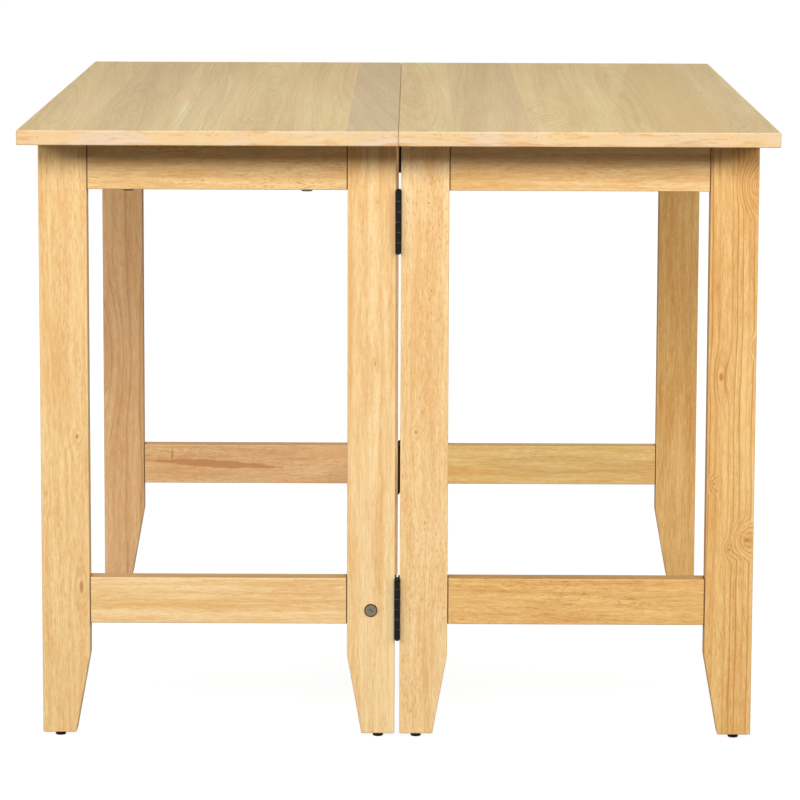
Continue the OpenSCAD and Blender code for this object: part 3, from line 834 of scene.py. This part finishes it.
def top_material():
    """The finish of both tops, so that the planks run on from one to the other."""
    material, tree, shader, place = new_material("planked top")
    across, back, up = split(tree, place)[0:3]
    seed = by_plank(tree, across, SEED)
    lean = by_plank(tree, across, LEAN, *IN_MM)
    straight = minus(tree, across, times(tree, lean, back))
    long_board = join(tree, straight, up, times(tree, back, LONGER))
    heart_back = calc(tree, "FRACT", times(tree, seed, 7.3))
    heart_back = centred(tree, heart_back, HEART_REACH * LONGER)
    heart_across = by_plank(tree, across, HEART, *IN_MM)
    heart = join(tree, heart_across, TOP_MIDDLE - HEART_DEPTH, heart_back)
    board = join(tree, across, up, back)
    bend, near = top_swirls(tree, board)
    small = top_knot(tree, board, *SMALL_KNOT)
    bend = plus(tree, bend, small["Bend"])
    pale, deep = plank_colours(tree, across, back, long_board)
    rings = smooth(tree, near, 0.03, 0.4, 0.30, 0.5)
    inputs = {"Vector": long_board, "Seed": times(tree, seed, 30.0), "Heart": heart}
    inputs |= {"Ring Width": 0.0045, "Wander": 0.020, "Drift": 0.03, "Taper": 0.11, "Bend": bend}
    inputs |= {"Push": small["Push"], "Core": small["Core"], "Rings": rings}
    inputs |= {"Stripes": 0.6, "Streaks": 0.7, "Pores": 0.10}
    wood = use(tree, WOOD, inputs | {"Pale": pale, "Deep": deep, "Dark": rgb(168, 134, 92)})
    end = smooth(tree, calc(tree, "ABSOLUTE", back), END_START, END_START + END_ROUNDING)
    colour = mix(tree, times(tree, end, 0.8), wood["Color"], end_colour(tree, place))
    dress(tree, shader, colour, wood["Roughness"], wood["Height"], depth=WOOD_RELIEF)
    return material


TOP = top_material()
paint("fixed_top", TOP)
paint("leaf_top", TOP)
print("tops share one material with", len(TOP.node_tree.nodes), "nodes")

# %% [markdown]
# ## Black steel of the butt hinges
# The hinges are pressed steel with a satin black paint. The paint is a little thicker in some places,
# its skin has a fine orange peel, and a painted highlight lightens the barrel at each end of a knuckle,
# where the edge of the knuckle catches the light. The knuckles repeat at an even pitch up the barrel, so
# the highlight rings are measured from the lower end of each hinge.

# %% Solids of a node


def solids(name):
    """The points of each separate solid in a node: upwards, then from left to right, then to the rear."""
    copy = bmesh.new()
    copy.from_mesh(nodes[name].data)
    bmesh.ops.remove_doubles(copy, verts=copy.verts, dist=1e-6)
    left = set(copy.verts)
    found = []
    while left:
        reached = [left.pop()]
        points = []
        while reached:
            vertex = reached.pop()
            points.append(vertex.co.copy())
            for edge in vertex.link_edges:
                other = edge.other_vert(vertex)
                if other in left:
                    left.remove(other)
                    reached.append(other)
        found.append(points)
    copy.free()
    return sorted(found, key=lambda points: [min(p[axis] for p in points) for axis in (2, 0, 1)])


def low_high(points):
    """The lowest and highest corner of some points."""
    columns = list(zip(*points))
    return Vector([min(column) for column in columns]), Vector([max(column) for column in columns])


KNUCKLES = 6
hinge_ends = [low_high(points) for points in solids("front_hinge_fixed_leaves")]
HINGE_LOWS = [low.z for low, high in hinge_ends]
KNUCKLE = (hinge_ends[0][1].z - hinge_ends[0][0].z) / KNUCKLES
BARREL_FRONT = 0.5245
print("hinges start at", [round(z, 4) for z in HINGE_LOWS], "and a knuckle is", round(KNUCKLE, 5), "m")

# %% Black steel material


def black_steel():
    """Satin black paint, with a painted highlight at the ends of the knuckles."""
    material, tree, shader, place = new_material("black painted steel")
    y, z = split(tree, place)[1:3]
    upper = calc(tree, "GREATER_THAN", z, (HINGE_LOWS[0] + HINGE_LOWS[1]) / 2)
    shift = times(tree, upper, HINGE_LOWS[1] - HINGE_LOWS[0])
    climbed = minus(tree, minus(tree, z, HINGE_LOWS[0]), shift)
    # lighter rings at the ends of the knuckles: a painted highlight, where the knuckle edges catch the
    # light
    to_joint = calc(tree, "PINGPONG", calc(tree, "DIVIDE", climbed, KNUCKLE), 0.5)
    ring = smooth(tree, to_joint, 0.055, 0.015)
    on_barrel = smooth(tree, calc(tree, "ABSOLUTE", y), BARREL_FRONT - 0.001, BARREL_FRONT)
    patchy = patches(tree, place, 260.0, 3.0, 0.35, 0.62)
    painted_knuckle_highlight = times(tree, times(tree, ring, on_barrel), patchy)
    thin = patches(tree, place, 90.0, 3.0, 0.4, 0.75)
    paint_colour = mix(tree, thin, (0.0045, 0.0048, 0.0052, 1), (0.011, 0.0112, 0.0115, 1))
    colour = mix(tree, times(tree, painted_knuckle_highlight, 0.6), paint_colour, (0.16, 0.15, 0.14, 1))
    gloss = patches(tree, place, 140.0, 2.0, 0.3, 0.7, 0.36, 0.52)
    peel = noise(tree, place, 1500.0, 2.0)
    shader.inputs["Specular IOR Level"].default_value = 0.3
    dress(tree, shader, colour, gloss, peel)
    return material


BLACK = black_steel()
for side in ("front", "rear"):
    for part in ("_hinge_fixed_leaves", "_gate_hinge_leaves", "_hinge_pins"):
        paint(side + part, BLACK)
print("black steel on six nodes")

# %% [markdown]
# ## Bronzed bolts
# The bolts have wide flat heads with a socket for a hexagon key. The finish is an antique bronze: a grey
# green skin over a copper coloured base, which shows where the rim and the socket are polished. The bolt
# through the inner leg lies on one line, so the distance from that line finds its rim and its socket.

# %% Bronze material
BOLT_LINE = (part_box("stretcher_bolts")[0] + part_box("stretcher_bolts")[1]) / 2


def bronze(name, line=None):
    """Antique bronze, bright at the rim and in the socket of a bolt on a line along Y."""
    material, tree, shader, place = new_material(name)
    patchy = noise(tree, place, 420.0, 3.0)
    skin = mix(tree, patchy, (0.22, 0.27, 0.23, 1), (0.34, 0.34, 0.27, 1))
    bare = (0.52, 0.25, 0.12, 1)
    if line:
        away = vector_calc(tree, "SUBTRACT", place, line)
        radius = vector_calc(tree, "LENGTH", vector_calc(tree, "MULTIPLY", away, (1.0, 0.0, 1.0)))
        rim = smooth(tree, radius, 0.0054, 0.0060)
        socket = smooth(tree, radius, 0.0030, 0.0022)
        worn = calc(tree, "MAXIMUM", rim, times(tree, socket, 0.8))
        skin = mix(tree, smooth(tree, radius, 0.0066, 0.0071), skin, (0.03, 0.02, 0.012, 1))
        worn = times(tree, worn, smooth(tree, radius, 0.0071, 0.0066))
    else:
        worn = smooth(tree, patchy, 0.62, 0.72)
    colour = mix(tree, times(tree, worn, 0.8), skin, bare)
    shader.inputs["Metallic"].default_value = 0.75
    gloss = smooth(tree, patchy, 0.3, 0.7, 0.30, 0.48)
    dress(tree, shader, colour, gloss, noise(tree, place, 900.0, 3.0), 0.2)
    return material


paint("stretcher_bolts", bronze("bronzed stretcher bolt", BOLT_LINE))
paint("top_bolts", bronze("bronzed top bolt"))
print("bolt line at x", round(BOLT_LINE.x, 4), "z", round(BOLT_LINE.z, 4))

# %% [markdown]
# ## Zinc plate and moulded plastic
# The hidden fittings are zinc plated: a bright grey with a faint rainbow of blue and yellow, and fine
# lines from the tumbling drum. The glides under the legs are a dark brown plastic with the dull grain of
# the mould and paler scuffs where they slide on the floor.

# %% Zinc and plastic


def zinc():
    """Bright zinc plate with a faint tint."""
    material, tree, shader, place = new_material("zinc plate")
    tint = patches(tree, place, 110.0, 2.0, 0.35, 0.65)
    colour = mix(tree, tint, (0.56, 0.58, 0.60, 1), (0.66, 0.62, 0.52, 1))
    lines = noise(tree, squeezed(tree, place, 0.1), 2400.0, 1.0)
    shader.inputs["Metallic"].default_value = 1.0
    dress(tree, shader, colour, smooth(tree, lines, 0.3, 0.7, 0.26, 0.42), lines, 0.15, 0.00005)
    return material


def glide_plastic():
    """Dark brown moulded plastic, scuffed where it meets the floor."""
    material, tree, shader, place = new_material("moulded glide")
    height = split(tree, place)[2]
    grain = noise(tree, place, 1300.0, 3.0)
    colour = mix(tree, grain, (0.060, 0.010, 0.004, 1), (0.120, 0.024, 0.009, 1))
    scuffs = patches(tree, place, 500.0, 3.0, 0.5, 0.62)
    scuffs = times(tree, scuffs, smooth(tree, height, 0.0006, 0.0001))
    colour = mix(tree, scuffs, colour, (0.16, 0.12, 0.09, 1))
    shader.inputs["Specular IOR Level"].default_value = 0.3
    dress(tree, shader, colour, smooth(tree, grain, 0.3, 0.7, 0.45, 0.6), grain, 0.3)
    return material


ZINC = zinc()
GLIDE = glide_plastic()
slots = {part["node"]: part["material_slot"] for part in frame["record"]["subparts"]}
for name, slot in slots.items():
    if slot == "zinc_steel":
        paint(name, ZINC)
    if slot == "glide_plastic":
        paint(name, GLIDE)
print("zinc on", sum(slot == "zinc_steel" for slot in slots.values()), "nodes")

# %% [markdown]
# ## Wood screws by Geometry Nodes
# Forty wood screws hold the hinges, the cups and the stops. In the CAD model each is a plain turned
# shape, but a real one has a cross recess and a thread. A node tree builds the screw from its sizes and
# puts it on points: a cone for the head with a cross cut out of it, cones for the core and its point,
# and a spiral with a three-sided section for the thread. Each screw is turned by its own random angle,
# from a fixed seed.

# %% Screw parts
GEOMETRY = "NodeSocketGeometry"
SHARP = 0.0001

# the cross, as shares of the head's radius, its height, the cross's own reach and its own depth
CROSS_REACH = 0.62
CROSS_DEPTH = 0.85
CROSS_WIDTH = 0.3
CROSS_SUNK = 0.96
POINT_RADII = 2.5


def down(tree, value):
    """The same length below the face of the head."""
    return times(tree, value, -1.0)


def cone(tree, sides, top, bottom, height, lift, **placing):
    """A cone with its lower end at a height, and with any other values of a Transform node."""
    sizes = {"Vertices": sides, "Radius Top": top, "Radius Bottom": bottom, "Depth": height}
    mesh = first(tree, "GeometryNodeMeshCone", sizes)
    placing |= {"Geometry": mesh, "Translation": join(tree, 0.0, 0.0, lift)}
    return first(tree, "GeometryNodeTransform", placing)


def screw_head(tree, given):
    """A countersunk head with a cross cut out of it."""
    height = given["Head Height"]
    head = cone(tree, 28, given["Head Radius"], given["Core Radius"], height, down(tree, height))
    reach = times(tree, given["Head Radius"], CROSS_REACH)
    depth = times(tree, height, CROSS_DEPTH)
    cut = add(tree, "GeometryNodeMeshBoolean", {"Mesh 1": head}, operation="DIFFERENCE", solver="EXACT")
    for angle in (0.0, math.radians(90)):
        turn = {"Scale": (1.0, CROSS_WIDTH, 1.0), "Rotation": (0.0, 0.0, angle)}
        arm = cone(tree, 4, reach, SHARP, depth, times(tree, depth, -CROSS_SUNK), **turn)
        tree.links.new(arm, cut.inputs["Mesh 2"])
    return cut.outputs["Mesh"]


def screw_shaft(tree, given):
    """The core, its point, and a spiral thread that starts below the neck."""
    length, radius, head_height = given["Length"], given["Core Radius"], given["Head Height"]
    point = times(tree, radius, POINT_RADII)
    straight = minus(tree, minus(tree, length, head_height), point)
    core = cone(tree, 14, radius, radius, straight, down(tree, plus(tree, head_height, straight)))
    tip = cone(tree, 14, radius, SHARP, point, down(tree, length))
    threaded = minus(tree, minus(tree, length, times(tree, head_height, 2.0)), point)
    turns = calc(tree, "DIVIDE", threaded, given["Thread Pitch"])
    spiral = {"Resolution": 14, "Rotations": turns, "Start Radius": radius, "End Radius": radius}
    path = first(tree, "GeometryNodeCurveSpiral", spiral | {"Height": threaded})
    section = {"Resolution": 3, "Radius": given["Thread Radius"]}
    section = first(tree, "GeometryNodeCurvePrimitiveCircle", section)
    sweep = {"Curve": path, "Profile Curve": section, "Fill Caps": True}
    thread = first(tree, "GeometryNodeCurveToMesh", sweep)
    lift = join(tree, 0.0, 0.0, down(tree, minus(tree, length, point)))
    thread = first(tree, "GeometryNodeTransform", {"Geometry": thread, "Translation": lift})
    return core, tip, thread


print("cross reach", CROSS_REACH, "of the head")

# %% Screw tree
SCREW_SIZES = {"Head Radius": 0.0033, "Head Height": 0.0017, "Length": 0.018}
SCREW_SIZES |= {"Core Radius": 0.0012, "Thread Pitch": 0.0014, "Thread Radius": 0.00034}


def on_points(tree, given, screw):
    """A copy of the screw on each point, facing its own way and turned by a random angle."""
    facing = add(tree, "GeometryNodeInputNamedAttribute", {"Name": "outwards"}, data_type="FLOAT_VECTOR")
    aim = {"Vector": facing.outputs["Attribute"]}
    aimed = first(tree, "FunctionNodeAlignRotationToVector", aim, axis="Z")
    spin = {"Min": 0.0, "Max": math.pi, "Seed": given["Seed"]}
    spin = add(tree, "FunctionNodeRandomValue", spin, data_type="FLOAT")
    angle = next(output for output in spin.outputs if output.enabled)
    around = {"Axis": (0.0, 0.0, 1.0), "Angle": angle}
    around = first(tree, "FunctionNodeAxisAngleToRotation", around)
    spun = first(tree, "FunctionNodeRotateRotation", {0: aimed, 1: around}, rotation_space="LOCAL")
    placed = {"Points": given["Places"], "Instance": screw, "Rotation": spun}
    return first(tree, "GeometryNodeInstanceOnPoints", placed)


def screw_tree():
    """Builds countersunk wood screws on points that carry a direction."""
    tree = bpy.data.node_groups.new("wood screws", "GeometryNodeTree")
    new_socket = tree.interface.new_socket
    new_socket("Places", in_out="INPUT", socket_type=GEOMETRY)
    for label, value in SCREW_SIZES.items():
        new_socket(label, in_out="INPUT", socket_type=FLOAT).default_value = value
    new_socket("Seed", in_out="INPUT", socket_type="NodeSocketInt").default_value = 4
    new_socket("Finish", in_out="INPUT", socket_type="NodeSocketMaterial")
    new_socket("Screws", in_out="OUTPUT", socket_type=GEOMETRY)
    given = tree.nodes.new("NodeGroupInput").outputs
    screw = tree.nodes.new("GeometryNodeJoinGeometry")
    for piece in (screw_head(tree, given), *screw_shaft(tree, given)):
        tree.links.new(piece, screw.inputs[0])
    many = on_points(tree, given, screw.outputs[0])
    real = first(tree, "GeometryNodeRealizeInstances", {"Geometry": many})
    finish = {"Geometry": real, "Material": given["Finish"]}
    give(tree, first(tree, "GeometryNodeSetMaterial", finish))
    return tree


SCREWS = screw_tree()
socket_id = {item.name: item.identifier for item in SCREWS.interface.items_tree if item.in_out == "INPUT"}
print("screw tree:", len(SCREWS.nodes), "nodes, inputs", ", ".join(socket_id))

# %% [markdown]
# ## Where each screw goes
# The places come from the CAD model. Each screw is a separate solid: its longest side is its axis, and
# the end with the wider ring of points is its head. One point is made at the middle of each head, with
# the direction that the head faces, and the tree does the rest. The result is turned into a plain mesh,
# because other programs don't read the modifier.

# %% Make the screws


def screw_places(name):
    """The middle of each head, the way it faces, and the length of the screws in a node."""
    places = []
    for points in solids(name):
        low, high = low_high(points)
        size = high - low
        axis = max(range(3), key=lambda number: size[number])
        middle = (low + high) / 2
        ends = []
        for end in (low[axis], high[axis]):
            near = [p for p in points if abs(p[axis] - end) < 0.0001]
            ends.append((max((p - middle).length for p in near), end))
        head = max(ends)[1]
        place = middle.copy()
        place[axis] = head
        outwards = Vector(ZERO)
        outwards[axis] = 1.0 if head > middle[axis] else -1.0
        places.append((place, outwards, size[axis]))
    return places


def make_screws(name, finish):
    """Detailed screws in the place of one CAD node, as one plain mesh."""
    places, directions, lengths = zip(*screw_places(name))
    mesh = bpy.data.meshes.new(name + "_places")
    mesh.from_pydata(places, [], [])
    attribute = mesh.attributes.new("outwards", "FLOAT_VECTOR", "POINT")
    for point, outwards in zip(attribute.data, directions):
        point.vector = outwards
    holder = bpy.data.objects.new(name + "_places", mesh)
    show(holder)
    modifier = holder.modifiers.new("screws", "NODES")
    modifier.node_group = SCREWS
    modifier[socket_id["Length"]] = lengths[0]
    modifier[socket_id["Finish"]] = finish
    evaluated = holder.evaluated_get(bpy.context.evaluated_depsgraph_get())
    plain = bpy.data.meshes.new_from_object(evaluated)
    holder.modifiers.remove(modifier)
    bpy.data.objects.remove(holder)
    piece = bpy.data.objects.new(name + "_detailed", plain)
    show(piece)
    body = next(body for body, members in frame["record"]["behaviour"]["bodies"].items() if name in members)
    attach(piece, body)
    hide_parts(name)
    print(piece.name, "rides on", body, "with", len(places), "screws and", len(plain.polygons), "faces")


for name in ("fixed_hinge_screws", "front_gate_screws", "rear_gate_screws"):
    make_screws(name, BLACK)
for name in ("gate_stop_screws", "fixed_cup_screws", "leaf_cup_screws"):
    make_screws(name, ZINC)
